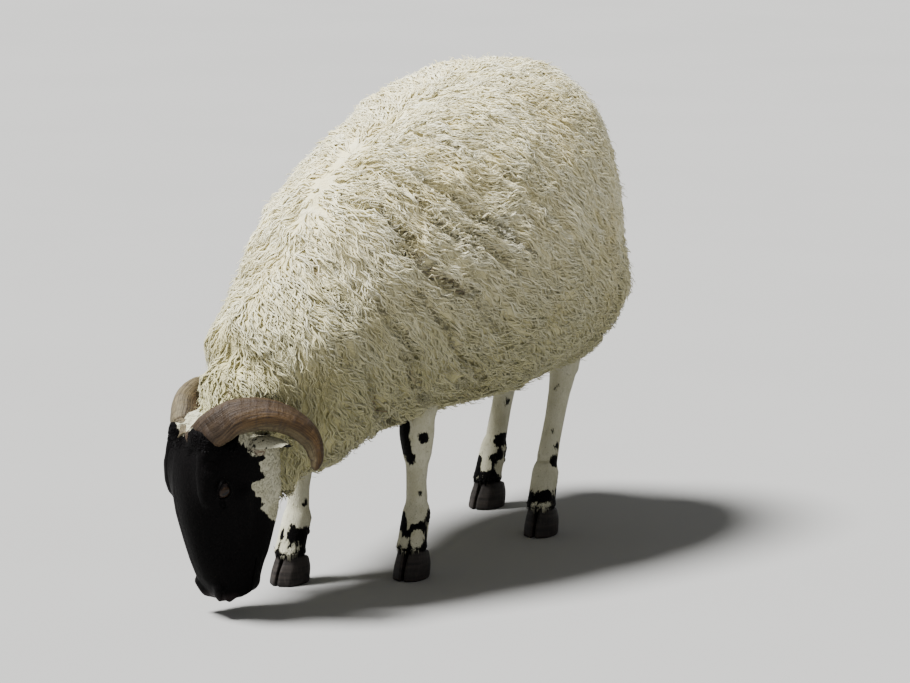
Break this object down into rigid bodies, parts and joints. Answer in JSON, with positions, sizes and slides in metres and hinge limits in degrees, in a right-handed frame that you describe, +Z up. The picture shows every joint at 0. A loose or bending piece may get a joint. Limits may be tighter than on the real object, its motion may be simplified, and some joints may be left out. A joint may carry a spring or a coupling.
{
  "type": "horned hill sheep",
  "caption": "Life-size horned hill sheep grazing with its head down: long cream fleece, black face, curled horns, pale legs with dark blotches.",
  "frame": {"origin": "on the floor, under the middle of the whole animal's box", "axes": "+Z up, -Y the way the body faces, +X the animal's left"},
  "size_m": [0.4856, 1.0622, 0.7921],
  "materials": {
    "fleece": "matte wool",
    "face_hair": "short black hair",
    "pale_hair": "short white hair with black blotches",
    "horn": "ridged keratin",
    "hoof": "dark keratin",
    "eye": "wet"
  },
  "bodies": {
    "root": {"trunk": "fleece", "neck": "fleece", "tail": "fleece", "left_thigh": "fleece", "right_thigh": "fleece", "head": "face_hair", "lower_jaw": "face_hair", "ear_left": "pale_hair", "ear_right": "pale_hair", "eye_left": "eye", "eye_right": "eye", "horn_left": "horn", "horn_right": "horn", "left_foreleg": "pale_hair", "left_foreleg_pastern": "pale_hair", "left_foreleg_outer_claw": "hoof", "left_foreleg_inner_claw": "hoof", "left_foreleg_outer_dewclaw": "hoof", "left_foreleg_inner_dewclaw": "hoof", "right_foreleg": "pale_hair", "right_foreleg_pastern": "pale_hair", "right_foreleg_outer_claw": "hoof", "right_foreleg_inner_claw": "hoof", "right_foreleg_outer_dewclaw": "hoof", "right_foreleg_inner_dewclaw": "hoof", "left_hindleg": "pale_hair", "left_hindleg_pastern": "pale_hair", "left_hindleg_outer_claw": "hoof", "left_hindleg_inner_claw": "hoof", "left_hindleg_outer_dewclaw": "hoof", "left_hindleg_inner_dewclaw": "hoof", "right_hindleg": "pale_hair", "right_hindleg_pastern": "pale_hair", "right_hindleg_outer_claw": "hoof", "right_hindleg_inner_claw": "hoof", "right_hindleg_outer_dewclaw": "hoof", "right_hindleg_inner_dewclaw": "hoof"}
  },
  "joints": []
}
